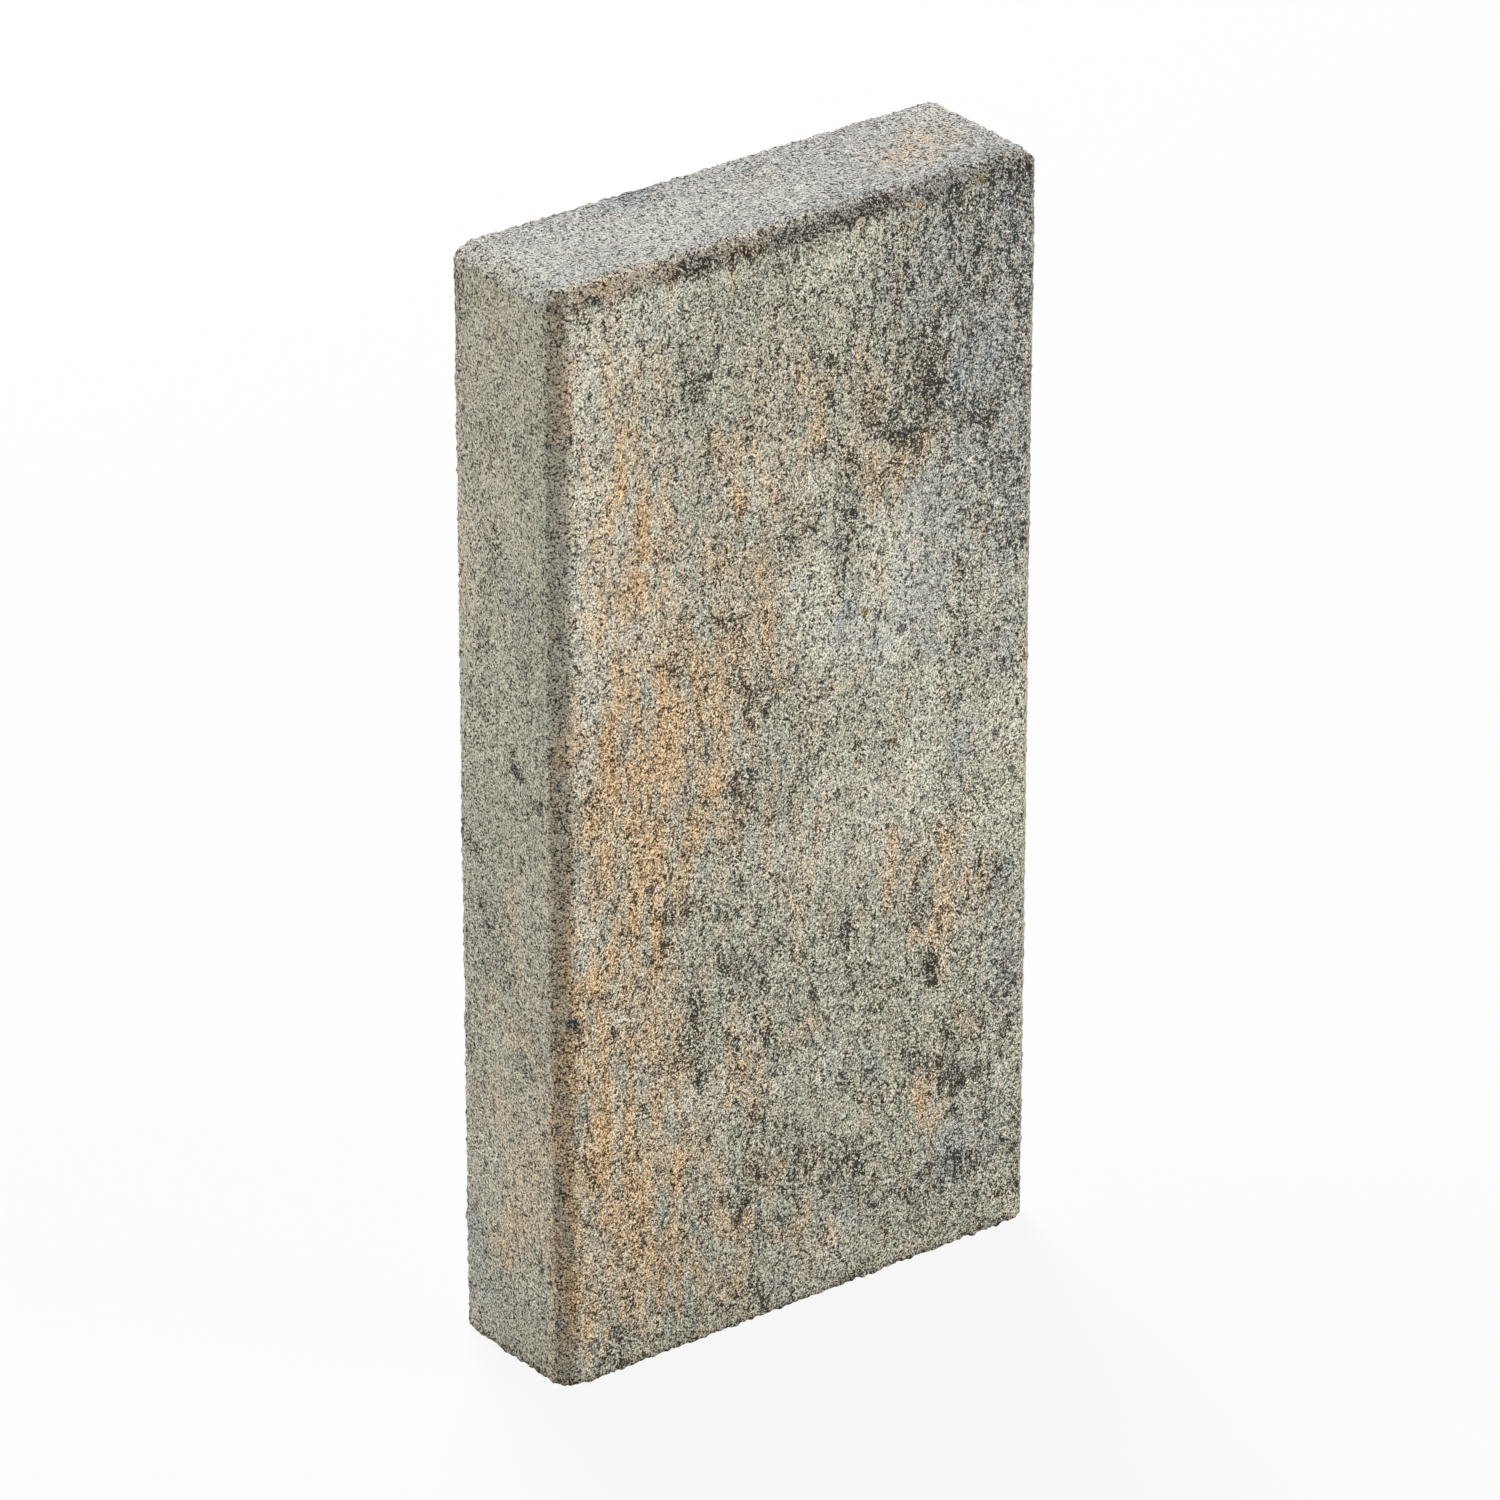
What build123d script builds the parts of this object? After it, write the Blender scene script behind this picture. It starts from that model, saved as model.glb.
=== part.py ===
from build123d import *
import os

# Concrete palisade: one slab of cast concrete that stands on its end, in millimetres.
# Z is up, the broad faces look along -Y and +Y, the narrow sides along -X and +X,
# and the origin is under the middle of the foot.

# Overall size
width = 400.0  # from one narrow side to the other
thickness = 120.0  # from one broad face to the other
height = 800.0  # from the foot to the top end

# Edges
side_chamfer = 10.0  # leg of the bevel down each of the four upright corners
top_chamfer = 10.0  # leg of the bevel round the top end
arris_radius = 3.0  # rounding that the mould leaves on every edge

with BuildPart() as palisade:
    # The section is a rectangle with its four corners cut off
    with BuildSketch() as section:
        Rectangle(width, thickness)
        chamfer(section.vertices(), length=side_chamfer)
    extrude(amount=height)

    # Bevels run all round the top end and meet in mitres over the upright ones
    top_rim = palisade.edges().group_by(Axis.Z)[-1]
    chamfer(top_rim, length=top_chamfer)

    # Every arris is softened, the foot's too
    fillet(palisade.edges(), radius=arris_radius)

palisade.part.label = "palisade"
os.makedirs("parts", exist_ok=True)
export_step(palisade.part, "parts/palisade.step")
print(f"palisade: {palisade.part.volume / 1e6:.3f} litres, valid {palisade.part.is_valid}")
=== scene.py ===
import math

import bmesh
import bpy
import numpy as np
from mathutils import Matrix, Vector, noise


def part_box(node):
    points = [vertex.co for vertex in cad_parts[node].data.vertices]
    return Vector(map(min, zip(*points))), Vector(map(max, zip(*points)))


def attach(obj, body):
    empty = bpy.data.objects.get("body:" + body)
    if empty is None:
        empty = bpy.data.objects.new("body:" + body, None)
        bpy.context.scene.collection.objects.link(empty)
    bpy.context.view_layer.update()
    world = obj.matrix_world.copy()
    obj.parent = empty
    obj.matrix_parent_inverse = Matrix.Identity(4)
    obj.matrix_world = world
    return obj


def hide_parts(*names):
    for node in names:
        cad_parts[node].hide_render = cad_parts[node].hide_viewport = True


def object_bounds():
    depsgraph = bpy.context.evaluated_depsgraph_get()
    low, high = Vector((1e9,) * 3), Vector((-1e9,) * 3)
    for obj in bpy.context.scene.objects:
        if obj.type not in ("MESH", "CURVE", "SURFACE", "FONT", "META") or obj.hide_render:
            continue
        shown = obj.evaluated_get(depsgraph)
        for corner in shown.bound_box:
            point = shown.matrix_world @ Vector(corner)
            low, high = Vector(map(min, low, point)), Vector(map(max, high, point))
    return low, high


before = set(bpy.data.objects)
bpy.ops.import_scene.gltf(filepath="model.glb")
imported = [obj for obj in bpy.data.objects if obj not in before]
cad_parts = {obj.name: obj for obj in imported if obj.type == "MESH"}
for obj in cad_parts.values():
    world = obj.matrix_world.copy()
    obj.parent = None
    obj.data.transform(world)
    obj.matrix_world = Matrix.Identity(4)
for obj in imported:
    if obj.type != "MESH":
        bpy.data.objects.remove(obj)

cadLow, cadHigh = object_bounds()
scene = bpy.context.scene
mm = 0.001

slab = {  # lengths in mm
    "skin": 0.5,  # how far the blank lies inside the frame, so that grains can stand proud
    "bevelLeg": 10.0,
    "bevelCells": 6,  # rows of quads across each bevel
    "arris": 2.6, "arrisSteps": 3,  # how far the roundings reach, and in how many steps
    "footArris": 1.3, "footSteps": 2,
    "fineCell": 1.9,  # side of the mesh's quads beside the arrises, and how far in they reach
    "fineBand": 11.4,
    "wideCell": 3.95,
    "crumbBand": 2.6,  # this near to an arris, edges longer than longCells fine cells are halved
    "longCells": 1.4,
}


def bevelEdges(bm, edges, offset, segments):
    bmesh.ops.bevel(bm, geom=edges, offset=offset, offset_type="OFFSET", segments=segments, profile=0.5,
                    affect="EDGES", material=-1, clamp_overlap=False)


def cutLines(low, high, legLow, legHigh):
    # fine cells beside the arrises, wide ones in the flat, and even ones in each bevel
    fine, wide, arris = slab["fineCell"] * mm, slab["wideCell"] * mm, slab["arris"] * mm
    steps = round(slab["fineBand"] / slab["fineCell"])
    start, stop = low + legLow + arris + fine, high - legHigh - arris - fine
    lines = [start + fine * i for i in range(steps)] + [stop - fine * i for i in range(steps)]
    first, last = start + fine * (steps - 1), stop - fine * (steps - 1)
    count = round((last - first) / wide)
    lines += [first + (last - first) * i / count for i in range(1, count)]
    cells = slab["bevelCells"]
    lines += [low + legLow * i / cells for i in range(1, cells) if legLow]
    lines += [high - legHigh * i / cells for i in range(1, cells) if legHigh]
    return sorted(lines)


def castBlank():
    low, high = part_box("palisade")
    skin, leg = slab["skin"] * mm, slab["bevelLeg"] * mm
    low = Vector((low[0] + skin, low[1] + skin, low[2]))
    high = Vector((high[0] - skin, high[1] - skin, high[2] - skin))
    bm = bmesh.new()
    bmesh.ops.create_cube(bm, size=1.0)
    bmesh.ops.scale(bm, vec=high - low, verts=bm.verts)
    bmesh.ops.translate(bm, vec=(low + high) / 2, verts=bm.verts)
    upright = [e for e in bm.edges if abs(e.verts[0].co.z - e.verts[1].co.z) > leg]
    bevelEdges(bm, upright, leg, 1)
    rim = [e for e in bm.edges if min(v.co.z for v in e.verts) > high.z - leg]
    bevelEdges(bm, rim, leg, 1)
    above = [e for e in bm.edges if max(v.co.z for v in e.verts) > leg]
    bevelEdges(bm, above, slab["arris"] * mm, slab["arrisSteps"])
    foot = [e for e in bm.edges if max(v.co.z for v in e.verts) < leg]
    bevelEdges(bm, foot, slab["footArris"] * mm, slab["footSteps"])
    for axis, legLow in ((2, 0.0), (1, leg), (0, leg)):
        normal = Vector([float(i == axis) for i in range(3)])
        for place in cutLines(low[axis], high[axis], legLow, leg):
            everything = bm.verts[:] + bm.edges[:] + bm.faces[:]
            bmesh.ops.bisect_plane(bm, geom=everything, dist=2e-5, plane_co=normal * place, plane_no=normal)
    return bm, low, high


def depths(points):
    # how deep each point lies behind the narrow sides, the broad faces, the top and the foot, in mm
    half = [(blankHigh[i] - blankLow[i]) / 2 / mm for i in (0, 1)]
    side = half[0] - np.abs(points[:, 0])
    broad = half[1] - np.abs(points[:, 1])
    top = blankHigh[2] / mm - points[:, 2]
    foot = points[:, 2] - blankLow[2] / mm
    return side, broad, top, foot


def arrisDistance(points):
    # how far each point lies from the nearest arris: its distance from the second nearest plane of the form
    leg = slab["bevelLeg"]
    side, broad, top, foot = depths(points)
    corner = (side + broad - leg) / math.sqrt(2)
    planes = [side, broad, top, foot, corner]
    planes += [(plane + top - leg) / math.sqrt(2) for plane in (side, broad, corner)]
    return np.sort(np.stack(planes), axis=0)[1]


def refineArrises(bm):
    # halves the long cells that lie along an arris, so that single grains can break its line
    near = arrisDistance(np.array([v.co for v in bm.verts]) / mm)
    bm.verts.index_update()
    longest = slab["fineCell"] * slab["longCells"] * mm
    chosen = [e for e in bm.edges if e.calc_length() > longest
              and max(near[v.index] for v in e.verts) < slab["crumbBand"]]
    bmesh.ops.subdivide_edges(bm, edges=chosen, cuts=1, use_grid_fill=True)


bm, blankLow, blankHigh = castBlank()
refineArrises(bm)
mesh = bpy.data.meshes.new("castSlab")
bm.to_mesh(mesh)
bm.free()
castSlab = bpy.data.objects.new("castSlab", mesh)
scene.collection.objects.link(castSlab)
print("blank:", len(mesh.vertices), "points,", sum(len(p.vertices) - 2 for p in mesh.polygons), "triangles")

relief = {  # heights in mm, all along the surface's own direction
    "swell": 0.20, "swellSize": 80.0,
    "lump": 0.13, "lumpSize": 14.0,
    "grit": 0.20, "gritSize": 4.4,
    "drag": 0.10, "dragSize": 7.0, "dragStretch": 8.0,
    "crumb": 1.15, "crumbSize": 3.6,  # loose grains along the arrises
    "wear": 0.50, "wearReach": 2.6, "wearSize": 17.0, "wearFineSize": 6.0,
    "wearFoot": 8.0,  # the arrises are worn less below this height
    "bite": 1.2, "biteReach": 3.5, "biteSize": 7.0, "biteSpacing": 30.0,  # out of the foot's edge
    "footRound": 0.1,
}


def readArray(name):
    values = np.empty(len(mesh.vertices) * 3)
    mesh.vertices.foreach_get(name, values)
    return values.reshape(-1, 3)


def lumps(points, size, seed, stretch=1.0):
    # noise between about -1 and 1, with lumps of that size in mm, drawn out upwards by stretch;
    # each seed reads another part of it
    scale = np.array((size, size, size * stretch))
    return np.array([noise.noise(Vector(p)) for p in points / scale + seed * 7.31]) * 1.6


def weather(points, normals, near):
    foot = depths(points)[3]
    upright = 1.0 - np.abs(normals[:, 2])
    edge = np.exp(-(near / relief["wearReach"]) ** 2)
    height = relief["swell"] * lumps(points, relief["swellSize"], 1)
    height += relief["lump"] * lumps(points, relief["lumpSize"], 2)
    height += relief["grit"] * lumps(points, relief["gritSize"], 3)
    height += relief["drag"] * lumps(points, relief["dragSize"], 4, relief["dragStretch"]) * upright
    height += relief["crumb"] * lumps(points, relief["crumbSize"], 9) * edge
    worn = 0.4 + lumps(points, relief["wearSize"], 5) + 0.7 * lumps(points, relief["wearFineSize"], 6)
    height -= relief["wear"] * edge * np.clip(foot / relief["wearFoot"], 0.3, 1) * np.clip(worn, 0, 2)
    footEdge = edge * np.exp(-(foot / relief["biteReach"]) ** 2)
    bites = 0.1 + lumps(points, relief["biteSize"], 7) + 0.5 * lumps(points, relief["biteSpacing"], 8)
    bites = np.clip(bites, 0, 1)
    height -= footEdge * (relief["footRound"] + relief["bite"] * bites)
    grown = points + normals * height[:, None]
    return np.clip(grown, np.array(cadLow) / mm, np.array(cadHigh) / mm)


blankPoints, blankNormals = readArray("co") / mm, readArray("normal")
nearArris = arrisDistance(blankPoints)
castPoints = weather(blankPoints, blankNormals, nearArris)
mesh.vertices.foreach_set("co", (castPoints * mm).ravel())
mesh.update()
print("relief on")

# Each patch of pigment lies in one face: where its middle is, its half width and half height in mm,
# how far it leans, and how much of the mix it is there. The middle is x and z on the front and the back,
# y and z on the sides, and x and y on the top.
patches = {
    "front": {
        "tan": [
            (-148, 700, 22, 56, 0, 0.26), (-140, 655, 22, 26, 0, 0.45), (-136, 622, 20, 34, 0, 0.40),
            (-150, 565, 26, 40, 0, 0.52), (-135, 520, 26, 30, 0, 0.35), (-130, 480, 15, 18, 0, 0.24),
            (-112, 505, 24, 30, 0, 0.60), (-110, 568, 16, 24, 0, 0.35), (-152, 484, 18, 26, 0, 0.35),
            (-112, 478, 28, 28, 0, 0.60), (-140, 450, 40, 36, 0, 0.60), (-155, 410, 40, 30, 0, 0.60),
            (-110, 416, 40, 34, 0, 0.53), (-115, 370, 40, 36, 0, 0.36), (-135, 345, 26, 30, 0, 0.42),
            (-150, 312, 28, 24, 0, 0.62), (-126, 324, 24, 26, 0, 0.26), (-128, 275, 30, 24, 0, 0.15),
            (-180, 258, 20, 42, 0, 0.38), (-180, 215, 22, 30, 0, 0.74), (-140, 228, 38, 28, 0, 0.48),
            (-125, 180, 40, 30, 0, 0.42), (-160, 130, 34, 36, 0, 0.45), (-125, 120, 28, 30, 0, 0.35),
            (-160, 60, 34, 44, 0, 0.34), (-120, 75, 30, 30, 0, 0.50), (-90, 70, 26, 24, 0, 0.25),
            (-75, 30, 26, 24, 0, 0.38), (-190, 330, 10, 40, 0, 0.35), (-60, 660, 16, 12, 0, 0.40),
            (-55, 620, 14, 28, 0, 0.50), (-20, 615, 12, 22, 0, 0.40), (-62, 555, 22, 36, 0, 0.35),
            (-28, 540, 16, 34, 0, 0.42), (-58, 500, 24, 24, 0, 0.38), (-66, 470, 18, 22, 0, 0.40),
            (-20, 485, 16, 20, 0, 0.15), (-62, 428, 24, 22, 0, 0.34), (2, 682, 26, 18, 0, 0.34),
            (2, 646, 14, 12, 0, 0.55), (40, 676, 24, 18, 0, 0.30), (58, 628, 18, 30, 0, 0.46),
            (84, 606, 16, 13, 0, 0.18), (104, 626, 10, 12, 0, 0.25), (60, 585, 14, 20, 0, 0.24),
            (35, 459, 9, 8, 0, 0.45), (8, 358, 12, 20, 0, 0.40), (-8, 328, 11, 20, 0, 0.50),
            (-10, 301, 10, 12, 0, 0.28), (80, 318, 16, 14, 0, 0.30), (120, 297, 22, 22, 0, 0.30),
            (130, 270, 22, 22, 0, 0.40), (98, 253, 12, 7, 0, 0.50), (128, 235, 14, 26, 0, 0.30),
            (-50, 190, 16, 22, 0, 0.45), (6, 210, 10, 8, 0, 0.35), (138, 168, 12, 10, 0, 0.30),
            (108, 125, 10, 22, 0, 0.50), (104, 98, 10, 12, 0, 0.30), (-55, 76, 12, 10, 0, 0.35),
            (-5, 60, 18, 10, 0, 0.40), (24, 40, 8, 8, 0, 0.45), (-158, 795, 16, 5, 0, 0.12),
            (-125, 794, 20, 6, 0, 0.12), (-104, 793, 10, 5, 0, 0.25), (-55, 795, 10, 4, 0, 0.30),
            (-35, 795, 10, 4, 0, 0.30), (45, 793, 8, 5, 0, 0.35), (-194, 300, 9, 60, 0, 0.44),
            (-194, 200, 9, 50, 0, 0.54), (-194, 110, 9, 50, 0, 0.50), (-194, 30, 9, 30, 0, 0.34),
            (-194, 740, 8, 50, 0, 0.30), (-128, 580, 16, 40, 0, 0.28), (75, 290, 14, 18, 0, 0.30),
            (-28, 380, 10, 28, 0, 0.30), (70, 375, 14, 18, 0, 0.22), (-182, 130, 16, 26, 0, 0.72),
            (-86, 121, 20, 24, 0, 0.50), (-30, 120, 10, 18, 0, 0.22), (-176, 470, 16, 50, 0, 0.25),
            (-70, 375, 16, 20, 0, 0.30), (-168, 232, 14, 18, 0, 0.30), (-172, 620, 12, 40, 0, 0.25),
            (-88, 442, 14, 20, 0, 0.32),
        ],
        "dark": [
            (84, 628, 12, 10, 0, 0.85), (64, 636, 12, 10, 0, 0.55), (106, 652, 12, 20, -0.3, 0.50),
            (108, 680, 16, 20, 0, 0.25), (88, 680, 24, 36, 0, 0.28), (130, 718, 28, 22, -0.4, 0.38),
            (75, 735, 30, 28, 0, 0.22), (135, 765, 18, 30, 0, 0.28), (100, 770, 20, 16, 0, 0.25),
            (163, 632, 12, 26, 0.3, 0.40), (136, 630, 22, 20, 0, 0.36), (190, 600, 10, 34, 0, 0.26),
            (52, 655, 16, 14, 0, 0.42), (168, 575, 20, 22, 0, 0.35), (141, 668, 16, 15, 0, 0.18),
            (174, 532, 15, 15, 0, 0.32), (138, 505, 13, 17, 0, 0.50), (128, 472, 18, 18, 0, 0.20),
            (122, 424, 16, 16, 0, 0.25), (178, 515, 12, 14, 0, 0.30), (42, 593, 14, 20, 0, 0.44),
            (36, 560, 15, 16, 0, 0.42), (36, 612, 12, 10, 0, 0.40), (26, 634, 10, 12, 0, 0.30),
            (32, 686, 15, 15, 0, 0.40), (22, 660, 12, 13, 0, 0.36), (-86, 712, 14, 26, 0, 0.40),
            (-88, 640, 20, 30, 0, 0.12), (-80, 610, 14, 20, 0, 0.12), (-118, 590, 10, 14, 0, 0.20),
            (-41, 590, 10, 18, 0, 0.08), (-18, 774, 15, 10, 0, 0.50), (-14, 575, 14, 16, 0, 0.38),
            (-70, 578, 12, 18, 0, 0.22), (-105, 515, 12, 10, 0, 0.45), (-58, 525, 8, 12, 0, 0.40),
            (-92, 535, 12, 14, 0, 0.25), (-56, 490, 13, 15, 0, 0.40), (-40, 476, 11, 12, 0, 0.40),
            (-38, 462, 12, 12, 0, 0.18), (-62, 408, 34, 9, 0, 0.35), (-24, 424, 9, 6, 0, 0.30),
            (-2, 388, 12, 12, 0, 0.24), (28, 372, 8, 6, 0, 0.22), (-18, 368, 10, 16, 0, 0.25),
            (-48, 392, 10, 12, 0, 0.30), (-148, 467, 8, 10, 0, 0.30), (-172, 432, 6, 6, 0, 0.35),
            (-150, 355, 7, 6, 0, 0.40), (-104, 328, 12, 16, 0, 0.36), (-112, 312, 10, 11, 0, 0.42),
            (-38, 300, 12, 20, 0, 0.12), (-60, 22, 13, 11, 0, 0.36), (-62, 285, 12, 12, 0, 0.45),
            (-90, 268, 13, 14, 0, 0.42), (-92, 222, 16, 22, 0, 0.34), (-72, 238, 26, 32, 0, 0.12),
            (-38, 262, 14, 24, 0, 0.35), (-28, 215, 17, 16, 0, 0.46), (-82, 206, 10, 12, 0, 0.25),
            (-17, 196, 10, 12, 0, 0.35), (-16, 284, 7, 6, 0, 0.35), (40, 280, 10, 12, 0, 0.35),
            (88, 317, 9, 9, 0, 0.50), (98, 292, 9, 12, 0, 0.35), (95, 268, 14, 8, 0, 0.30),
            (110, 222, 9, 13, 0, 0.70), (10, 240, 30, 22, 0, 0.20), (50, 235, 24, 30, 0, 0.15),
            (162, 282, 14, 18, 0, 0.38), (96, 150, 12, 13, 0, 0.40), (121, 156, 9, 10, 0, 0.28),
            (150, 180, 15, 18, 0, 0.36), (150, 236, 10, 12, 0, 0.28), (-82, 152, 14, 10, 0, 0.45),
            (-36, 146, 14, 26, 0, 0.26), (-8, 135, 8, 18, 0, 0.30), (34, 160, 8, 20, 0, 0.25),
            (60, 155, 8, 22, 0, 0.25), (131, 131, 12, 10, 0, 0.80), (160, 120, 12, 20, 0, 0.30),
            (164, 93, 8, 10, 0, 0.50), (186, 60, 11, 30, 0, 0.38), (190, 22, 9, 13, 0, 0.32),
            (-58, 98, 14, 10, 0, 0.30), (34, 96, 10, 8, 0, 0.36), (48, 90, 8, 8, 0, 0.30),
            (134, 65, 22, 20, 0, 0.36), (118, 50, 20, 10, 0, 0.18), (-14, 74, 9, 9, 0, 0.45),
            (-38, 70, 8, 16, 0, 0.40), (-36, 22, 8, 14, 0, 0.55), (-110, 25, 10, 20, 0, 0.35),
            (-155, 22, 14, 14, 0, 0.30), (130, 28, 18, 8, 0, 0.30), (178, 26, 10, 8, 0, 0.45),
            (-6, 110, 20, 14, 0, 0.25), (-186, 275, 7, 6, 0, 0.50), (-174, 152, 6, 6, 0, 0.32),
            (-170, 787, 9, 6, 0, 0.40), (-84, 786, 26, 7, 0, 0.30), (-84, 791, 12, 7, 0, 0.55),
            (-100, 789, 8, 5, 0, 0.40), (-45, 792, 14, 6, 0, 0.36), (-20, 792, 14, 7, 0, 0.36),
            (0, 792, 14, 7, 0, 0.36), (25, 792, 18, 7, 0, 0.34), (55, 793, 14, 7, 0, 0.34),
            (70, 794, 10, 5, 0, 0.35), (104, 790, 8, 10, 0, 0.35), (128, 788, 10, 14, 0, 0.50),
            (165, 792, 12, 10, 0, 0.25), (188, 780, 11, 16, 0, 0.44), (172, 770, 26, 40, 0, 0.38),
            (186, 705, 14, 56, 0, 0.24), (178, 650, 16, 30, 0, 0.18), (98, 640, 18, 22, 0, 0.30),
            (130, 145, 24, 36, 0, 0.18), (175, 175, 16, 34, 0, 0.30), (150, 720, 34, 34, 0, 0.15),
            (75, 60, 40, 30, 0, 0.15), (30, 78, 24, 24, 0, 0.20), (66, 602, 10, 10, 0, 0.30),
        ],
        "pale": [
            (-165, 745, 36, 30, 0, 0.75), (-130, 765, 24, 18, 0, 0.40), (-178, 640, 18, 80, 0, 0.65),
            (-175, 540, 18, 60, 0, 0.60), (-140, 640, 26, 60, 0, 0.35), (-136, 592, 13, 18, 0, 0.46),
            (-138, 548, 14, 8, 0, 0.55), (-104, 764, 14, 13, 0, 0.45), (-141, 502, 11, 13, 0, 0.40),
            (-140, 525, 18, 30, 0, 0.35), (-36, 626, 12, 26, 0, 0.52), (12, 615, 12, 18, 0, 0.45),
            (-2, 545, 16, 24, 0, 0.40), (12, 525, 14, 30, 0, 0.35), (8, 500, 20, 7, 0, 0.50),
            (37, 508, 14, 13, 0, 0.48), (25, 770, 36, 16, 0, 0.35), (80, 560, 24, 26, 0, 0.20),
            (82, 532, 34, 36, 0, 0.58), (66, 480, 20, 30, 0, 0.50), (100, 490, 40, 26, 0, 0.30),
            (75, 435, 14, 20, 0, 0.35), (106, 428, 12, 18, 0, 0.50), (125, 410, 20, 20, 0, 0.20),
            (150, 500, 30, 20, 0, 0.25), (95, 375, 18, 22, 0, 0.50), (65, 380, 24, 14, 0, 0.40),
            (60, 340, 34, 22, 0, 0.40), (22, 380, 15, 14, 0, 0.42), (-28, 328, 13, 15, 0, 0.34),
            (10, 345, 20, 20, 0, 0.35), (-30, 350, 20, 16, 0, 0.30), (105, 345, 16, 12, 0, 0.40),
            (170, 385, 26, 30, 0, 0.35), (165, 320, 24, 16, 0, 0.40), (-178, 335, 16, 22, 0, 0.45),
            (-180, 365, 12, 16, 0, 0.30), (-166, 795, 26, 6, 0, 0.50), (-130, 795, 24, 6, 0, 0.60),
            (-184, 797, 14, 4, 0, 0.55), (-104, 797, 14, 4, 0, 0.50), (95, 794, 12, 6, 0, 0.40),
            (140, 795, 14, 6, 0, 0.45), (-102, 192, 16, 11, 0, 0.65), (-150, 192, 14, 8, 0, 0.35),
            (-175, 180, 11, 13, 0, 0.28), (-164, 121, 11, 8, 0, 0.70), (-178, 88, 9, 9, 0, 0.30),
            (-72, 152, 7, 12, 0, 0.50), (-70, 195, 8, 14, 0, 0.40), (-14, 178, 10, 12, 0, 0.35),
            (22, 180, 14, 26, 0, 0.30), (35, 50, 16, 18, 0, 0.35), (35, 130, 14, 12, 0, 0.25),
            (172, 122, 10, 10, 0, 0.35), (160, 160, 16, 12, 0, 0.15), (0, 18, 30, 12, 0, 0.20),
            (178, 495, 14, 16, 0, 0.30), (-5, 290, 14, 10, 0, 0.30), (-122, 575, 22, 24, 0, 0.48),
            (122, 324, 16, 13, 0, 0.38), (-176, 665, 16, 30, 0, 0.30), (-180, 465, 14, 26, 0, 0.35),
            (-182, 120, 12, 26, 0, 0.25), (-184, 30, 12, 20, 0, 0.30), (25, 26, 18, 14, 0, 0.35),
            (22, 525, 18, 24, 0, 0.35), (30, 478, 18, 20, 0, 0.30), (-50, 458, 12, 12, 0, 0.30),
            (-46, 216, 14, 12, 0, 0.30), (-75, 590, 14, 20, 0, 0.20),
        ],
        "blue": [
            (178, 750, 26, 60, 0, 0.60), (120, 760, 34, 26, 0, 0.45), (88, 728, 34, 26, 0, 0.35),
            (126, 645, 20, 26, 0, 0.35), (140, 665, 26, 36, 0.3, 0.55), (165, 680, 22, 30, 0, 0.45),
            (180, 600, 16, 50, 0, 0.40), (145, 600, 24, 34, 0, 0.40), (100, 590, 22, 30, 0, 0.42),
            (110, 535, 28, 34, 0, 0.40), (36, 508, 16, 14, 0, 0.60), (60, 470, 14, 22, 0, 0.35),
            (108, 462, 12, 12, 0, 0.45), (92, 500, 26, 24, 0, 0.40), (170, 545, 22, 26, 0, 0.45),
            (172, 498, 18, 26, 0, 0.25), (135, 388, 14, 12, 0, 0.45), (162, 446, 24, 22, 0, 0.40),
            (176, 275, 12, 14, 0, 0.40), (172, 235, 22, 30, 0, 0.25), (28, 180, 7, 20, 0, 0.40),
            (60, 165, 8, 18, 0, 0.35), (134, 68, 22, 18, 0, 0.50), (-124, 752, 20, 16, 0, 0.25),
            (180, 200, 18, 26, 0, 0.35), (40, 62, 14, 12, 0, 0.30), (150, 80, 30, 30, 0, 0.30),
            (120, 702, 20, 18, 0, 0.30),
        ],
    },
    "left": {
        "tan": [
            (50, 590, 12, 40, 0, 0.20), (-8, 345, 9, 40, 0, 0.20), (-20, 285, 20, 20, 0, 0.15),
            (20, 255, 12, 14, 0, 0.22), (-18, 245, 18, 12, 0, 0.26), (0, 180, 40, 30, 0, 0.18),
            (-20, 140, 22, 30, 0, 0.20), (-16, 100, 22, 20, 0, 0.24), (12, 78, 16, 16, 0, 0.28),
            (46, 110, 12, 12, 0, 0.12), (-30, 15, 16, 12, 0, 0.15), (20, 770, 30, 20, 0, 0.10),
            (48, 690, 10, 16, 0, 0.20), (10, 650, 60, 170, 0, 0.08),
        ],
        "dark": [
            (4, 592, 24, 34, 0, 0.22), (12, 680, 18, 20, 0, 0.24), (48, 762, 10, 34, 0, 0.32),
            (-18, 690, 10, 14, 0, 0.30), (24, 530, 8, 36, 0.1, 0.24), (-20, 520, 11, 44, 0, 0.20),
            (30, 480, 8, 14, 0, 0.30), (-15, 447, 9, 7, 0, 0.40), (-38, 426, 8, 7, 0, 0.45),
            (-22, 424, 14, 12, 0, 0.22), (46, 226, 8, 20, 0, 0.24), (-30, 570, 16, 20, 0, 0.20),
            (24, 330, 10, 12, 0, 0.28), (12, 310, 18, 30, 0, 0.20), (2, 285, 8, 12, 0, 0.28),
            (-16, 228, 8, 7, 0, 0.35), (35, 370, 14, 14, 0, 0.30), (-34, 85, 8, 12, 0, 0.40),
            (14, 60, 9, 8, 0, 0.18),
        ],
        "pale": [
            (44, 520, 16, 60, 0, 0.20), (-12, 345, 8, 30, 0, 0.20), (45, 600, 14, 30, 0, 0.20),
            (-45, 350, 8, 40, 0, 0.15), (0, 150, 40, 60, 0, 0.15), (10, 640, 40, 160, 0, 0.20),
        ],
        "blue": [
            (46, 85, 14, 26, 0, 0.45), (-14, 570, 14, 20, 0, 0.35), (40, 40, 20, 20, 0, 0.25),
        ],
    },
    "top": {
        "tan": [
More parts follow.
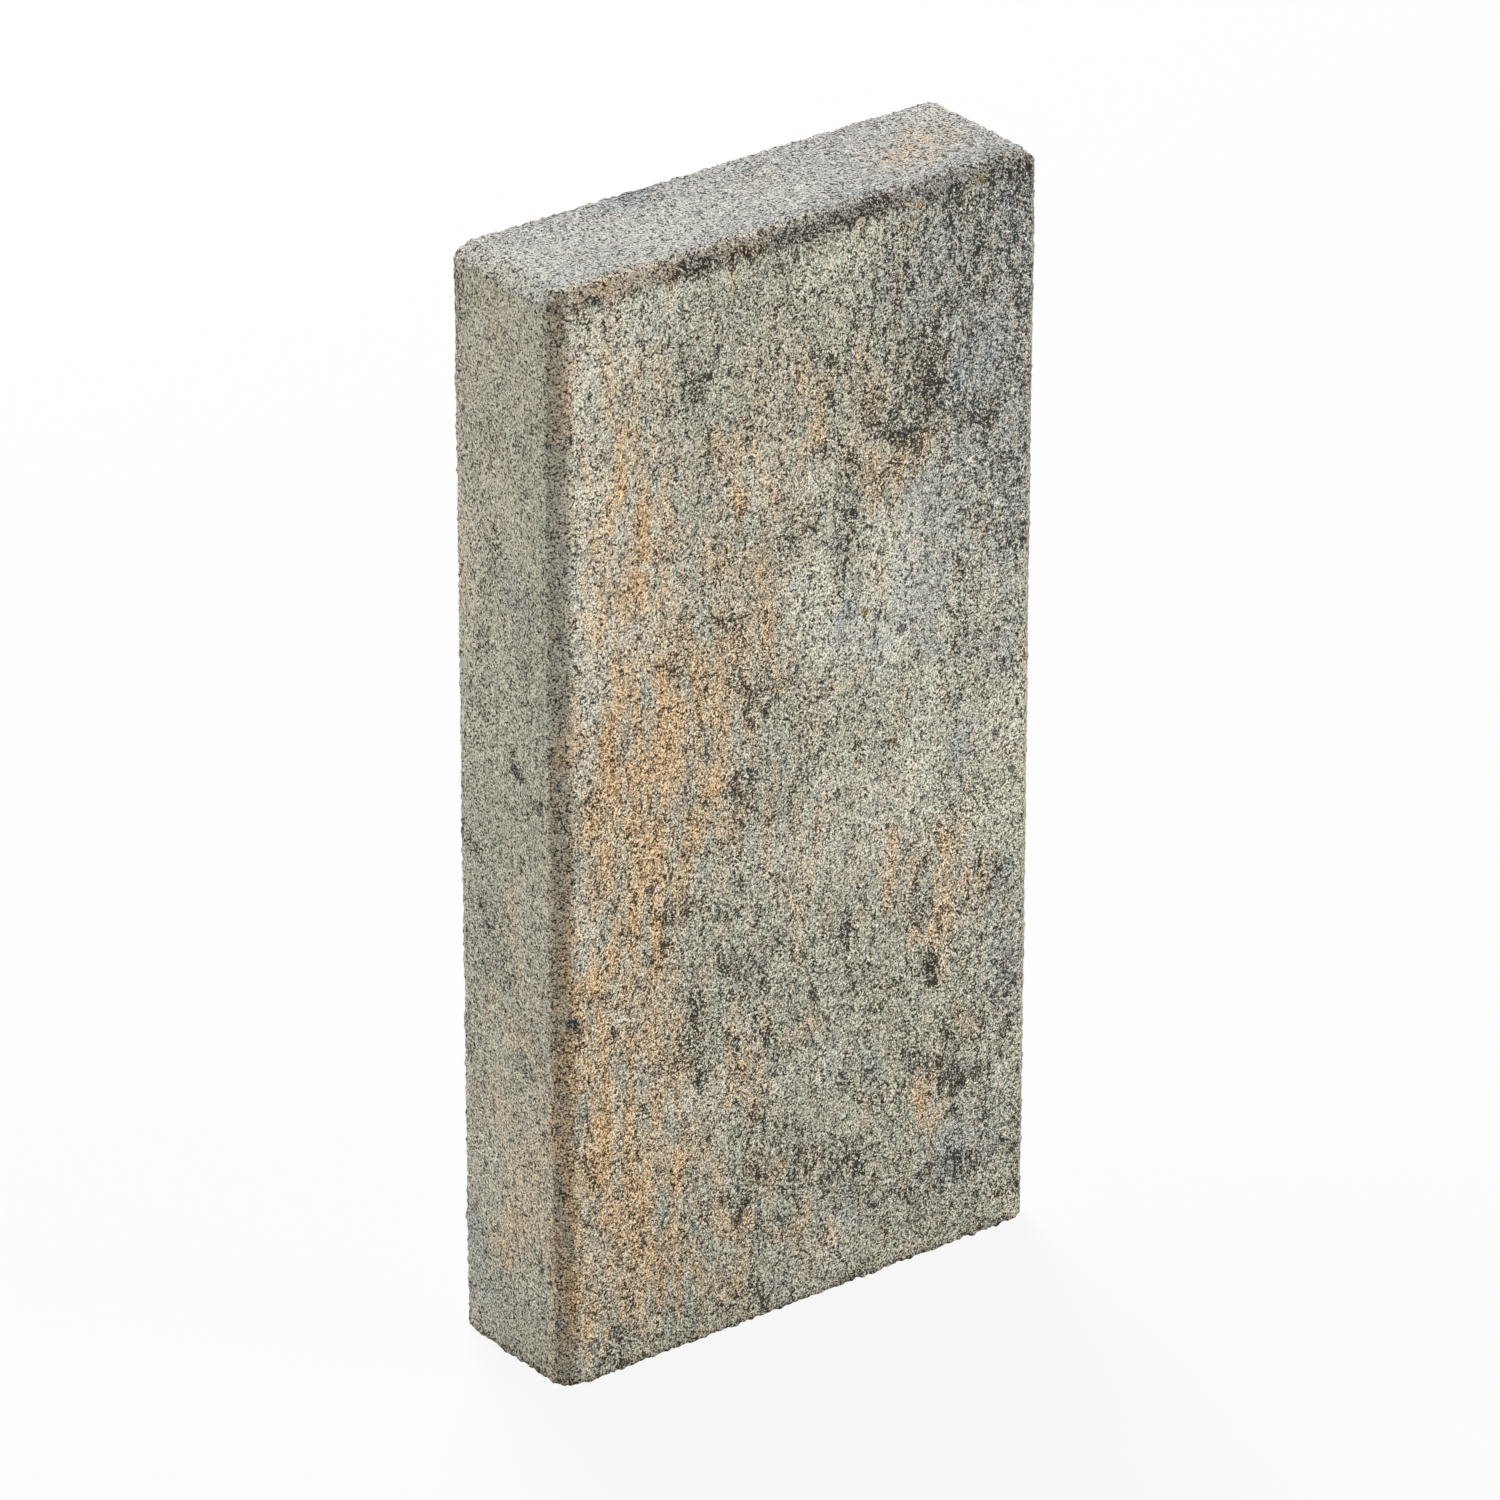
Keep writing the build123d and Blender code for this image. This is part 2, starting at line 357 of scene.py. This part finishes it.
            (115, -15, 22, 16, 0, 0.26), (150, 0, 22, 18, 0, 0.24), (-160, -55, 34, 4, 0, 0.35),
            (-60, -56, 30, 3, 0, 0.25), (20, 15, 20, 10, 0, 0.10),
        ],
        "dark": [
            (60, -56, 40, 5, 0, 0.40), (-58, 50, 26, 9, 0, 0.44), (-56, 28, 18, 12, 0, 0.20),
            (-100, 30, 12, 12, 0, 0.15), (30, 35, 16, 10, 0, 0.15), (45, -38, 8, 10, 0, 0.25),
            (130, 50, 14, 8, 0, 0.20),
        ],
        "pale": [
            (-100, -5, 90, 30, 0, 0.30), (30, -20, 30, 20, 0, 0.20), (170, 30, 30, 20, 0, 0.20),
            (-182, 0, 16, 40, 0, 0.25),
        ],
        "blue": [
            (-68, 42, 24, 18, 0, 0.50), (-130, 8, 26, 10, 0, 0.20), (-125, -18, 20, 12, 0, 0.25),
            (150, -48, 30, 10, 0, 0.35), (60, -50, 40, 8, 0, 0.30), (-170, -35, 24, 10, 0, 0.20),
            (122, -56, 60, 5, 0, 0.55),
        ],
    },
    "right": {
        "tan": [
            (-20, 640, 24, 70, 0, 0.35), (15, 520, 22, 60, 0, 0.30), (-30, 330, 18, 70, 0, 0.30),
            (10, 120, 36, 50, 0, 0.40), (-25, 210, 20, 30, 0, 0.30),
        ],
        "dark": [
            (20, 700, 22, 40, 0, 0.35), (-10, 450, 24, 40, 0, 0.35), (25, 380, 12, 30, 0.1, 0.40),
            (30, 240, 18, 36, 0, 0.30), (-32, 150, 10, 16, 0, 0.45), (-12, 560, 7, 8, 0, 0.70),
        ],
        "pale": [(30, 620, 20, 50, 0, 0.30), (0, 290, 30, 30, 0, 0.25), (-25, 60, 24, 30, 0, 0.25)],
        "blue": [(-36, 520, 14, 40, 0, 0.35), (20, 60, 22, 34, 0, 0.35), (0, 760, 40, 24, 0, 0.25)],
    },
    "back": {
        "tan": [
            (130, 640, 46, 80, 0, 0.50), (110, 500, 34, 60, 0, 0.60), (60, 560, 22, 50, 0, 0.40),
            (150, 350, 40, 60, 0, 0.45), (20, 420, 20, 46, 0, 0.45), (-30, 300, 26, 60, 0, 0.40),
            (-140, 560, 30, 60, 0, 0.35), (-120, 180, 44, 60, 0, 0.50), (-60, 80, 36, 40, 0, 0.40),
            (90, 140, 40, 50, 0, 0.30), (-70, 700, 34, 30, 0, 0.25), (30, 230, 12, 22, 0, 0.50),
        ],
        "dark": [
            (-20, 640, 30, 50, 0.2, 0.45), (-60, 520, 26, 60, 0, 0.40), (60, 690, 24, 30, 0, 0.35),
            (90, 420, 18, 40, 0, 0.45), (-150, 420, 30, 50, 0, 0.35), (0, 180, 34, 50, 0, 0.35),
            (150, 220, 24, 50, 0, 0.40), (-170, 90, 20, 40, 0, 0.35), (40, 60, 30, 24, 0, 0.35),
            (-100, 350, 14, 14, 0, 0.70), (70, 300, 12, 10, 0, 0.75), (-40, 410, 10, 12, 0, 0.70),
            (170, 560, 12, 20, 0, 0.50), (-90, 620, 9, 8, 0, 0.70), (120, 70, 12, 12, 0, 0.60),
        ],
        "pale": [
            (-130, 730, 50, 40, 0, 0.45), (30, 500, 26, 50, 0, 0.40), (-170, 300, 24, 60, 0, 0.35),
            (60, 350, 36, 34, 0, 0.35), (170, 720, 24, 40, 0, 0.40), (-20, 120, 30, 20, 0, 0.30),
            (180, 130, 14, 40, 0, 0.35), (-90, 450, 20, 30, 0, 0.35),
        ],
        "blue": [
            (-170, 650, 24, 60, 0, 0.45), (-10, 740, 50, 30, 0, 0.35), (-110, 470, 30, 36, 0, 0.40),
            (110, 280, 26, 34, 0, 0.35), (-60, 200, 24, 30, 0, 0.35), (0, 350, 24, 20, 0, 0.30),
        ],
    },
}

faces = {  # which axis runs across each face and which up it, which it looks along, and on which side
    "front": (0, 2, 1, -1),
    "back": (0, 2, 1, 1),
    "left": (1, 2, 0, -1),
    "right": (1, 2, 0, 1),
    "top": (0, 1, 2, 1),
}
pigmentNames = ("tan", "dark", "pale", "blue")
spread = {
    "reach": 14.0,  # mm that a patch goes on round an edge or into the slab
    "drift": 5.0, "driftSize": 24.0, "driftStretch": 1.6,  # how far noise pulls the patches' outlines about
    "fray": 3.0, "fraySize": 8.0, "frayStretch": 1.8,
    "tall": 1.7,  # how much further they are pulled up and down than sideways
    "calm": 25.0,  # mm from the rim in which noise pulls them less
    "fall": 1.1, "fallPower": 1.3,  # how steeply a patch thins out towards its outline
    # how strongly each pigment shows, and how many times as wide as listed
    "tan": (1.17, 1.25), "dark": (1.25, 1.0), "pale": (1.3, 1.15), "blue": (1.3, 1.1),
}


def pigmentShares(points):
    bare = {name: np.ones(len(points)) for name in pigmentNames}
    far = [lumps(points, spread["driftSize"], 20 + i, spread["driftStretch"]) for i in range(3)]
    close = [lumps(points, spread["fraySize"], 30 + i, spread["frayStretch"]) for i in range(3)]
    drift = np.stack([spread["drift"] * far[i] + spread["fray"] * close[i] for i in range(3)], axis=1)
    calm = np.clip(depths(points)[2] / spread["calm"], 0.2, 1.0)[:, None]  # patches on the rim stay in place
    wander = points + drift * calm * np.array((1.0, 1.0, spread["tall"]))
    for face, pigments in patches.items():
        across, up, ahead, side = faces[face]
        plane = side * blankHigh[ahead] / mm
        facing = np.exp(-((points[:, ahead] - plane) / spread["reach"]) ** 2)
        for name, spots in pigments.items():
            strength, breadth = spread[name]
            for x, z, halfWidth, halfHeight, lean, share in spots:
                rise = wander[:, up] - z
                aside = wander[:, across] - x - lean * rise
                away = ((aside / halfWidth) ** 2 + (rise / halfHeight) ** 2) / breadth ** 2
                most = min(share * strength, 0.95)
                bare[name] *= 1.0 - most * facing * np.exp(-spread["fall"] * away ** spread["fallPower"])
    return np.stack([1.0 - bare[name] for name in pigmentNames], axis=1)


edgeFade = {  # mm over which each share fades out, from the edge of its bevel or from the foot
    "uprightSide": 1.5, "uprightBroad": 1.0,
    "rimTop": 4.0, "rimBroad": 0.1,
    "foot": 5.0,
    "arris": 1.5,
}


def edgeShares(points, normals):
    # on the upright bevels, on the bevels of the top end, along the foot, and how far a point looks up
    # these shares place painted shade on the bevels, grime with painted shade at the foot, and painted light
    # where a point looks up
    leg = slab["bevelLeg"]
    side, broad, top, foot = depths(points)

    def fade(depth, reach):
        return np.exp(-(np.clip(depth, 0, None) / reach) ** 2)

    upright = fade(side - leg, edgeFade["uprightSide"]) * fade(broad - leg, edgeFade["uprightBroad"])
    rim = fade(top - leg, edgeFade["rimTop"]) * fade(broad - leg, edgeFade["rimBroad"])
    lookUp = np.clip(normals[:, 2], 0, 1)
    return np.stack([upright, rim, fade(foot, edgeFade["foot"]), lookUp], axis=1)


def addColours(name, values):
    layer = mesh.attributes.new(name, "FLOAT_COLOR", "POINT")
    layer.data.foreach_set("color", values.astype(np.float32).ravel())


def addNumbers(name, values):
    layer = mesh.attributes.new(name, "FLOAT", "POINT")
    layer.data.foreach_set("value", values.astype(np.float32))


addColours("pigment", pigmentShares(blankPoints))
addColours("edges", edgeShares(blankPoints, blankNormals))
addNumbers("arris", np.exp(-(nearArris / edgeFade["arris"]) ** 2))
addNumbers("broad", np.abs(blankNormals[:, 1]) ** 2)
mesh.polygons.foreach_set("use_smooth", [True] * len(mesh.polygons))
print("pigments on")

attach(castSlab, "root")
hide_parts("palisade")


class Wire:
    # a socket that adds Math nodes when it is used in an expression
    def __init__(self, board, socket):
        self.board = board
        self.socket = socket

    def maths(self, operation, *values, clamp=False):
        return self.board.node("Math", {"operation": operation, "use_clamp": clamp}, dict(enumerate(values)))

    def __add__(self, other):
        return self.maths("ADD", self, other)

    def __radd__(self, other):
        return self.maths("ADD", other, self)

    def __sub__(self, other):
        return self.maths("SUBTRACT", self, other)

    def __rsub__(self, other):
        return self.maths("SUBTRACT", other, self)

    def __mul__(self, other):
        return self.maths("MULTIPLY", self, other)

    def __rmul__(self, other):
        return self.maths("MULTIPLY", other, self)

    def atLeast(self, value):
        return self.maths("MAXIMUM", self, value)

    def atMost(self, value):
        return self.maths("MINIMUM", self, value)

    def clamped(self):
        return self.maths("ADD", self, 0.0, clamp=True)

    def ramp(self, low, high):
        # 0 below low, 1 above high, smooth between
        return self.board.node("MapRange", {"interpolation_type": "SMOOTHSTEP"},
                               {"Value": self, "From Min": low, "From Max": high})


class Board:
    # the node tree of a material or of the world
    def __init__(self, owner):
        owner.use_nodes = True
        self.owner = owner
        self.tree = owner.node_tree
        self.tree.nodes.clear()

    def add(self, kind, settings, sockets):
        made = self.tree.nodes.new("ShaderNode" + kind)
        for key, value in settings.items():
            setattr(made, key, value)
        for key, value in sockets.items():
            self.join(made.inputs[key], value)
        return made

    def join(self, target, value):
        if isinstance(value, Wire):
            self.tree.links.new(value.socket, target)
        else:
            target.default_value = value

    def node(self, kind, settings, sockets, output=0):
        return Wire(self, self.add(kind, settings, sockets).outputs[output])

    def outputs(self, kind, settings, sockets, names):
        made = self.add(kind, settings, sockets)
        return [Wire(self, made.outputs[name]) for name in names]

    def mixColour(self, share, first, second):
        # by number, because the Mix node's sockets share their names: factor, two colours and the result
        made = self.add("Mix", {"data_type": "RGBA", "clamp_factor": True}, {})
        self.join(made.inputs[0], share)
        self.join(made.inputs[6], first)
        self.join(made.inputs[7], second)
        return Wire(self, made.outputs[2])

    def scaled(self, colour, factor):
        return self.node("VectorMath", {"operation": "SCALE"}, {0: colour, "Scale": factor})


def tone(red, green, blue):
    # a colour read off a screen, from 0 to 255, as the shader wants it
    return tuple(((v / 255 + 0.055) / 1.055) ** 2.4 for v in (red, green, blue)) + (1.0,)


concrete = {
    "paste": tone(185, 183, 166),
    # lighter, greyer paste on surfaces that look up, partly painted light from above
    "upPasteAndTopLight": tone(190, 190, 186),
    "tan": tone(220, 184, 136),
    "dark": tone(106, 107, 94),
    "pale": tone(223, 220, 204),
    "blue": tone(158, 166, 169),
    # colour of the painted highlight along the top arris
    "rimHighlight": tone(228, 216, 198),
    # brown tint that the pores take with their painted shade
    "pore": tone(130, 102, 62),
    "darkGrain": tone(66, 66, 60),
    "paleGrain": tone(232, 228, 216),
    "warmGrain": tone(206, 156, 106),
    "coolGrain": tone(122, 130, 132),
    # colour of the painted shade on the bevels, and of grime with painted shade at the foot
    "bevelShadeAndGrime": tone(120, 102, 74),
    "sandScale": 640.0,  # grains in a metre
    "gritScale": 290.0,
    "stoneScale": 92.0,
    "roughness": 0.92,
    "specular": 0.25,
    "bump": 0.8,
    "bumpDepth": 0.0013,  # in metres
    "brightness": 1.176,
    "darkest": 0.14,  # what the deepest pore keeps of its colour's brightness
    "glint": 3.45,  # how sharply the grains stand out with painted light on their tops, and how much lighter they are at most
    "glintMost": 0.45,
    "poreRamp": (0.048, 0.076),  # where in the noise a pore begins and where it is full: lower opens more
    "poreDarkness": 1.42,
    "holeRamp": (0.15, 0.19),
    "holeDarkness": 0.6,
    "stoneBrim": (0.85, 1.1),  # a large stone's soft edge, in its radii
}

clouds = {  # noise: lumps in a metre, detail, which way it is drawn out, and roughness
    "sand": (900.0, 1.0, "even", 0.5),
    "speck": (600.0, 2.0, "even", 0.7),
    "pit": (210.0, 2.0, "tall", 0.5),
    "clumps": (125.0, 3.0, "tall", 0.6),
    "blot": (62.0, 2.0, "tall", 0.5),
    "mottle": (32.0, 2.0, "tall", 0.5),
    "streak": (170.0, 3.0, "drawn", 0.6),
    "wash": (80.0, 1.0, "drawn", 0.5),
}
squeezed = {"tall": 0.5, "drawn": 0.24}  # scale on z of the noises that are drawn out upwards

stones = [  # the larger stones that show: their middle and radius in mm, and their colour
    ((-129, -59, 591), 4.0, tone(214, 208, 194)),
    ((-140, -59, 549), 5.0, tone(212, 204, 188)),
    ((94, -57, 786), 3.6, tone(176, 148, 96)),
    ((147, -57, 791), 4.6, tone(160, 146, 108)),
    ((52, -59, 505), 3.2, tone(184, 152, 96)),
    ((83, -59, 484), 3.8, tone(74, 80, 84)),
    ((-189, -58, 275), 5.0, tone(72, 80, 88)),
    ((-199, -11, 447), 4.4, tone(70, 78, 86)),
    ((-199, -38, 426), 3.2, tone(82, 86, 86)),
    ((83, -59, 627), 4.2, tone(58, 62, 64)),
    ((-103, -59, 192), 4.6, tone(208, 192, 168)),
]


def concreteMaterial():
    board = Board(bpy.data.materials.new("shadedConcrete"))
    place = board.node("TexCoord", {}, {}, "Object")
    spaces = {"even": place}
    for name, upwards in squeezed.items():
        spaces[name] = board.node("Mapping", {}, {"Vector": place, "Scale": (1.0, 1.0, upwards)})

    def cloud(name):
        # noise that swings about 0
        scale, detail, space, rough = clouds[name]
        sockets = {"Vector": spaces[space], "Scale": scale, "Detail": detail, "Roughness": rough}
        return board.node("TexNoise", {"noise_dimensions": "3D"}, sockets) - 0.5

    def cells(scale):
        # how far the middle of each grain lies, and three chance numbers for each grain
        distance, colour = board.outputs("TexVoronoi", {"feature": "F1"},
                                         {"Vector": place, "Scale": scale}, ("Distance", "Color"))
        return [distance] + board.outputs("SeparateColor", {}, {"Color": colour}, ("Red", "Green", "Blue"))

    pigment, blueShare = board.outputs("Attribute", {"attribute_name": "pigment"}, {}, ("Color", "Alpha"))
    tanShare, darkShare, paleShare = board.outputs("SeparateColor", {}, {"Color": pigment},
                                                   ("Red", "Green", "Blue"))
    edges, lookUp = board.outputs("Attribute", {"attribute_name": "edges"}, {}, ("Color", "Alpha"))
    uprightBevel, rimBevel, foot = board.outputs("SeparateColor", {}, {"Color": edges},
                                                 ("Red", "Green", "Blue"))
    arris = board.node("Attribute", {"attribute_name": "arris"}, {}, "Fac")
    broad = board.node("Attribute", {"attribute_name": "broad"}, {}, "Fac")

    sandA, sandB, sandC = cells(concrete["sandScale"])[1:]
    gritA, gritB = cells(concrete["gritScale"])[1:3]
    stoneDistance, stoneA, stoneB = cells(concrete["stoneScale"])[:3]
    sand, speck, pit, clumps = [cloud(name) for name in ("sand", "speck", "pit", "clumps")]
    blot, mottle, streak, wash = [cloud(name) for name in ("blot", "mottle", "streak", "wash")]

    # the paste and its pigments run softly into each other
    # surfaces that look up take the lighter paste, partly painted light from above
    tint = board.mixColour(lookUp, concrete["paste"], concrete["upPasteAndTopLight"])
    tint = board.mixColour(paleShare * (0.85 + clumps * 1.6), tint, concrete["pale"])
    tint = board.mixColour(blueShare * (0.9 + clumps * 1.6), tint, concrete["blue"])
    warmth = tanShare * (0.85 + blot * 2.0 + wash * 2.1)
    warmth = warmth + (mottle * 0.4 + blot * 0.6 + wash * 0.4) * broad
    tint = board.mixColour(warmth, tint, concrete["tan"])
    soiling = (clumps * 1.5 + streak * 1.9 + mottle * 0.9) * (broad * 0.7 + 0.3)
    soot = (darkShare * 1.15 - paleShare * 0.09 - 0.06 + soiling).clamped()
    tint = board.mixColour(soot * 0.5, tint, concrete["dark"])
    # painted shade on the upright and rim bevels, and grime with painted contact shade at the foot
    tint = board.mixColour(uprightBevel * 0.2 + foot * 0.5 + rimBevel * 0.3, tint, concrete["bevelShadeAndGrime"])
    # painted highlight where the rim bevel turns up into the top arris
    rimHighlight = rimBevel * lookUp.ramp(0.70, 0.86) * (0.8 + clumps * 2.0)
    tint = board.mixColour(rimHighlight * (0.9 - blueShare * 0.8), tint, concrete["rimHighlight"])

    # pores between the grains, darkened with painted shade, thick where the pigment is dark, along the
    # arrises, where they paint the shadows among the crumbs, and at the foot
    grain = speck * 0.85 + (sandA - 0.5) * 0.12 + pit * 0.13
    openness = soot * 0.12 - paleShare * 0.012 + arris * 0.015 + foot * 0.04
    pores = (grain + openness).ramp(*concrete["poreRamp"])
    holes = (pit + soot * 0.06).ramp(*concrete["holeRamp"])
    warmGrains = (gritA + tanShare * 0.1).ramp(0.93, 0.97)
    tint = board.mixColour(warmGrains * (broad * 0.15 + 0.1), tint, concrete["warmGrain"])
    tint = board.mixColour(gritB.ramp(0.93, 0.96) * (broad * 0.3 + 0.1), tint, concrete["darkGrain"])
    paleGrains = (sandB + paleShare * 0.1).ramp(0.90, 0.98)
    tint = board.mixColour(paleGrains * (broad * 0.15 + 0.2), tint, concrete["paleGrain"])

    # stones that the sand leaves open
    loose = (1.0 - stoneDistance.ramp(0.24, 0.30)) * stoneA.ramp(0.93, 0.94)
    stoneTone = board.mixColour(stoneB.ramp(0.45, 0.55), concrete["coolGrain"], concrete["pale"])
    tint = board.mixColour(loose * 0.7, tint, stoneTone)
    for middle, radius, stoneColour in stones:
        centre = tuple(v * mm for v in middle)
        away = board.node("VectorMath", {"operation": "DISTANCE"}, {0: place, 1: centre}, "Value")
        brim = [radius * mm * part for part in concrete["stoneBrim"]]
        inside = 1.0 - (away + clumps * 0.004).ramp(*brim)
        tint = board.mixColour(inside * 0.85, tint, stoneColour)

    # painted light on the grain tops and painted shade in the pores, over the grains' own tone, stand out
    # most on the broad faces, on the bevels, near the foot and where the pigment is dark
    glint = (sand * concrete["glint"] + (sandC - 0.5) * 0.5).atMost(concrete["glintMost"])
    height = board.outputs("SeparateXYZ", {}, {"Vector": place}, ("Z",))[0]
    depth = 1.045 + broad * 0.15 - height * 0.3 + rimBevel * 0.2 + uprightBevel * 0.05
    depth = depth + soot * 0.3 - paleShare * 0.22 - tanShare * 0.05
    tint = board.mixColour(glint * depth * (tanShare * 0.3 + 0.4), tint, concrete["paleGrain"])
    tint = board.mixColour(pores * (0.55 - blueShare * 0.35 - soot * 0.2), tint, concrete["pore"])
    clouding = (clumps * 0.45 + streak * 0.5 + mottle * 0.4) * (broad * 0.25 + 0.75 - lookUp * 0.15)
    # painted shade in the pores and holes
    opened = pores * (lookUp * 0.3 + concrete["poreDarkness"]) + holes * concrete["holeDarkness"]
    shade = concrete["brightness"] + clouding + (glint - opened) * depth
    colour = board.scaled(tint, shade.atLeast(concrete["darkest"]))

    dents = (speck * 0.9 + pit * 0.13).ramp(0.052, 0.082) * 0.8 + pit.ramp(*concrete["holeRamp"]) * 0.6
    bumps = sand * 1.9 - dents
    normal = board.node("Bump", {}, {"Strength": concrete["bump"], "Distance": concrete["bumpDepth"],
                                     "Height": bumps})
    shader = board.node("BsdfPrincipled", {}, {"Base Color": colour, "Roughness": concrete["roughness"],
                                               "Specular IOR Level": concrete["specular"], "Normal": normal})
    board.add("OutputMaterial", {}, {"Surface": shader})
    return board.owner


castSlab.data.materials.append(concreteMaterial())
print("concrete on")

photoView = {  # in degrees and metres, but the lens in mm
    "lens": 240.0,
    "azimuth": -37.36, "elevation": 26.75, "distance": 6.658,
    "aimAside": 0.0017, "aimHeight": 0.3957,
}


def addCamera():
    data = bpy.data.cameras.new("photoCamera")
    data.lens = photoView["lens"]
    azimuth, elevation = math.radians(photoView["azimuth"]), math.radians(photoView["elevation"])
    aim = Vector((math.cos(azimuth), math.sin(azimuth), 0.0)) * photoView["aimAside"]
    aim.z = photoView["aimHeight"]
    back = Vector((math.sin(azimuth) * math.cos(elevation), -math.cos(azimuth) * math.cos(elevation),
                   math.sin(elevation)))
    camera = bpy.data.objects.new("photoCamera", data)
    camera.location = aim + back * photoView["distance"]
    camera.rotation_mode = "QUATERNION"
    camera.rotation_quaternion = (-back).to_track_quat("-Z", "Y")
    scene.collection.objects.link(camera)
    scene.camera = camera


studio = {
    # azimuth round the slab, height, distance, size of the lamp and its power in watts
    "lamps": {
        "rightBox": (38.0, 0.9, 6.0, 3.0, 309.0),
        "leftBox": (-130.0, 0.9, 6.0, 3.0, 219.0),
        "topBox": (160.0, 6.4, 4.8, 3.6, 600.0),
    },
    "aimHeight": 0.4,
    "air": 0.22,  # how strongly the white all round lights the slab
    "floorRadius": 30.0,
    "floorTone": 0.7,
    "floorWhite": 0.9,  # how much of the floor's own shade gives way to plain white for the camera
}


def addStudio():
    aim = Vector((0.0, 0.0, studio["aimHeight"]))
    for name, (azimuth, height, distance, size, power) in studio["lamps"].items():
        angle = math.radians(azimuth)
        place = Vector((math.sin(angle) * distance, -math.cos(angle) * distance, height))
        data = bpy.data.lights.new(name, "AREA")
        data.shape = "DISK"
        data.size = size
        data.energy = power
        lamp = bpy.data.objects.new(name, data)
        lamp.location = place
        lamp.rotation_mode = "QUATERNION"
        lamp.rotation_quaternion = (aim - place).to_track_quat("-Z", "Y")
        scene.collection.objects.link(lamp)

    bm = bmesh.new()
    bmesh.ops.create_circle(bm, cap_ends=True, segments=64, radius=studio["floorRadius"])
    floorMesh = bpy.data.meshes.new("studioFloor")
    bm.to_mesh(floorMesh)
    bm.free()
    floor = bpy.data.objects.new("studioFloor", floorMesh)
    scene.collection.objects.link(floor)
    board = Board(bpy.data.materials.new("paleFloor"))
    seen = board.outputs("LightPath", {}, {}, ("Is Camera Ray", "Is Glossy Ray", "Is Transmission Ray"))
    matt = board.node("BsdfDiffuse", {}, {"Color": (studio["floorTone"],) * 3 + (1.0,)})
    white = board.node("Emission", {}, {"Color": (1.0, 1.0, 1.0, 1.0), "Strength": 1.0})
    share = (seen[0] + seen[1] + seen[2]).clamped() * studio["floorWhite"]
    surface = board.node("MixShader", {}, {0: share, 1: matt, 2: white})
    board.add("OutputMaterial", {}, {"Surface": surface})
    floorMesh.materials.append(board.owner)

    scene.world = bpy.data.worlds.new("studioAir")
    air = Board(scene.world)
    seen = air.outputs("LightPath", {}, {}, ("Is Camera Ray", "Is Glossy Ray", "Is Transmission Ray"))
    lit = air.node("Background", {}, {"Color": (1.0, 1.0, 1.0, 1.0), "Strength": studio["air"]})
    white = air.node("Background", {}, {"Color": (1.0, 1.0, 1.0, 1.0), "Strength": 1.0})
    share = (seen[0] + seen[1] + seen[2]).clamped()
    air.add("OutputWorld", {}, {"Surface": air.node("MixShader", {}, {0: share, 1: lit, 2: white})})


addCamera()
addStudio()
scene.view_settings.view_transform = "Standard"
print("studio on")
